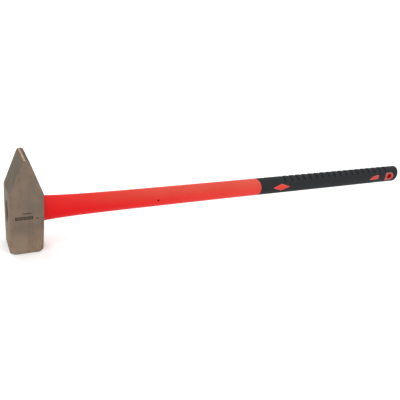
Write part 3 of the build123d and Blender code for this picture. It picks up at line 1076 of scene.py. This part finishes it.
def grip_form(handle, grip, columns=168):
    """The grip's shell as one closed surface: outside, domed end, inside and front edge.

    Rows of the outside bend with the grooves' sweep, so that each groove's step lies on rows.
    """
    angle = around(columns)
    edge = tongue_edge(grip, angle)
    sweep = grip.groove_sweep * np.cos(angle) ** 2
    first = grip.groove_start
    last = first + grip.groove_count * grip.groove_pitch
    step_start = grip.groove_ramp + grip.groove_floor
    step = step_start + grip.groove_step * np.array([0.0, 0.17, 0.39, 0.61, 0.83, 1.0, 1.45])
    crest = step[-1] + (grip.groove_pitch - step[-1]) * np.array([0.35, 0.7])
    marks = np.concatenate([np.linspace(0, grip.groove_ramp, 6), step, crest])
    ribs = (first + np.arange(grip.groove_count)[:, None] * grip.groove_pitch + marks).ravel()

    lip = grip.lip
    turn = quarter(4)[:-1, None]
    lip_rows = handle_grid(handle, edge + lip * (1 - np.cos(turn)), angle, lip * (1 - np.sin(turn)))
    dome_x, dome_scale = dome(grip, HANDLE_END, grip.end_round, 14)
    front = edge + lip + np.linspace(0, 1, 24)[:, None] * (first + sweep - edge - lip)
    middle = ribs[1:, None] + sweep
    back = last + sweep + np.linspace(0, 1, 18)[:, None] * (dome_x[0] - last - sweep)
    x = np.concatenate([front, middle, back])
    along = x - sweep - first
    inside = (along > 0) & (along < last - first)
    height = np.sin(angle) * handle.half_height
    upper = smoothstep(grip.groove_foot - 2 * MM, grip.groove_foot + 7 * MM, height)
    outside = handle_grid(handle, x, angle, -rib_height(grip, along) * upper * inside)
    domed = handle_grid(handle, grown(dome_x[1:], angle), angle, 0.0, dome_scale[1:, None])
    middle_point = np.broadcast_to(np.array([HANDLE_END, 0.0, AXIS_Z]), (1, columns, 3))
    inner = wall_rows(handle, grip, angle, edge)[::-1]
    rows = np.concatenate([lip_rows, outside, domed, middle_point, inner])
    return surface("grip_shell", rows, closed_rows=True)


class SLEDGE_OT_grip(bpy.types.Operator):
    """Builds the dark grip with its swept grooves and its windows."""

    bl_idname = "sledge.grip"
    bl_label = "Grip"

    def execute(self, context):
        """Cuts the windows through the shell, and marks the crests for wear."""
        handle, grip = context.scene.sledge_handle, context.scene.sledge_grip
        piece = grip_form(handle, grip)
        for name, outline in window_outlines(grip).items():
            opening = offset_outline(outline, grip.joint)
            combine(piece, prism(name + "_opening", opening, handle.half_height * 2), "DIFFERENCE")
        finish_mesh(piece, sharp=35)
        points = positions(piece)
        sweep = grip.groove_sweep * (points[:, 1] / (handle.depth_ratio * handle.half_height)) ** 2
        along = points[:, 0] - sweep - grip.groove_start
        step_end = grip.groove_ramp + grip.groove_floor + grip.groove_step
        phase = np.mod(along - step_end + 0.2 * MM, grip.groove_pitch)
        crest = 1 - smoothstep(0.2 * MM, 3.0 * MM, phase)
        in_grooves = (along > 0) & (along < grip.groove_count * grip.groove_pitch)
        upper = smoothstep(grip.groove_foot - 3 * MM, grip.groove_foot + 3 * MM, points[:, 2] - AXIS_Z)
        end = smoothstep(HANDLE_END - 9 * MM, HANDLE_END - 1 * MM, points[:, 0])
        write_mask(piece, "edge", np.maximum(crest * in_grooves * upper, 0.6 * end))
        adopt(piece, "grip", dark_material(grip))
        return {"FINISHED"}


# ---------------------------------------------------------------- stage


def camera_matrix(stage):
    """The camera's place and turn: back from azimuth and elevation, then rolled about it."""
    azimuth, elevation = stage.azimuth, stage.elevation
    back = Vector((
        math.sin(azimuth) * math.cos(elevation),
        -math.cos(azimuth) * math.cos(elevation),
        math.sin(elevation),
    ))
    right = Vector((math.cos(azimuth), math.sin(azimuth), 0.0))
    up = back.cross(right)
    turn = Matrix.Rotation(stage.roll, 3, back)
    axes = Matrix((turn @ right, turn @ up, back)).transposed().to_4x4()
    return Matrix.Translation(stage.camera) @ axes


class SLEDGE_OT_stage(bpy.types.Operator):
    """Builds the floor, the soft light and the camera."""

    bl_idname = "sledge.stage"
    bl_label = "Stage"

    def execute(self, context):
        """Lays a wide pale floor, lights it evenly, and places the camera."""
        stage = context.scene.sledge_stage
        half = 20.0  # metres from the middle to each side
        mesh = bpy.data.meshes.new("floor")
        corners = [(-half, -half, 0), (half, -half, 0), (half, half, 0), (-half, half, 0)]
        mesh.from_pydata(corners, [], [(0, 1, 2, 3)])
        floor = linked("floor", mesh)
        _, _, finish = start_material("floor_pale")
        mesh.materials.append(finish(stage.floor, 0.9))

        world = bpy.data.worlds.new("studio")
        context.scene.world = world
        world.use_nodes = True
        background = world.node_tree.nodes["Background"]
        background.inputs["Color"].default_value = (1.0, 1.0, 1.0, 1.0)
        background.inputs["Strength"].default_value = stage.sky

        data = bpy.data.lights.new("back_softbox", "AREA")
        data.shape = "RECTANGLE"
        data.size, data.size_y = stage.softbox_width, stage.softbox_height
        data.energy = stage.softbox
        lamp = linked("back_softbox", data)
        lamp.location = stage.softbox_place
        direction = Vector((0.0, 0.0, HEAD_TOP)) - stage.softbox_place
        lamp.rotation_euler = direction.to_track_quat("-Z", "Y").to_euler()

        data = bpy.data.lights.new("diffused_sun", "SUN")
        data.energy = stage.sun
        data.angle = stage.sun_width
        linked("diffused_sun", data).rotation_euler = (stage.sun_tilt, stage.sun_turn, 0.0)

        data = bpy.data.cameras.new("camera")
        data.lens = stage.lens
        data.sensor_width = 36.0
        camera = linked("camera", data)
        camera.matrix_world = camera_matrix(stage)
        context.scene.camera = camera
        context.scene.view_settings.view_transform = "Standard"
        return {"FINISHED"}


# ---------------------------------------------------------------- add-on


class SLEDGE_PT_panel(bpy.types.Panel):
    """Lists the steps that build the hammer."""

    bl_label = "Sledge Hammer"
    bl_idname = "SLEDGE_PT_panel"
    bl_space_type = "VIEW_3D"
    bl_region_type = "UI"
    bl_category = "Sledge Hammer"

    def draw(self, context):
        """One button for each operator."""
        for operator in OPERATORS:
            self.layout.operator(operator.bl_idname)


SETTINGS = {
    "sledge_head": HeadSettings,
    "sledge_handle": HandleSettings,
    "sledge_grip": GripSettings,
    "sledge_stage": StageSettings,
}
OPERATORS = (
    SLEDGE_OT_stage,
    SLEDGE_OT_head,
    SLEDGE_OT_resin,
    SLEDGE_OT_rod,
    SLEDGE_OT_jacket,
    SLEDGE_OT_grip,
)


def register():
    """Registers the settings, the operators and the panel."""
    for name, group in SETTINGS.items():
        bpy.utils.register_class(group)
        setattr(bpy.types.Scene, name, PointerProperty(type=group))
    for cls in (*OPERATORS, SLEDGE_PT_panel):
        bpy.utils.register_class(cls)


def unregister():
    """Takes back everything that register made."""
    for cls in (SLEDGE_PT_panel, *reversed(OPERATORS)):
        bpy.utils.unregister_class(cls)
    for name, group in SETTINGS.items():
        delattr(bpy.types.Scene, name)
        bpy.utils.unregister_class(group)


def main():
    """Builds every piece and the stage."""
    register()
    for operator in OPERATORS:
        group, name = operator.bl_idname.split(".")
        getattr(getattr(bpy.ops, group), name)()


if __name__ == "__main__":
    main()
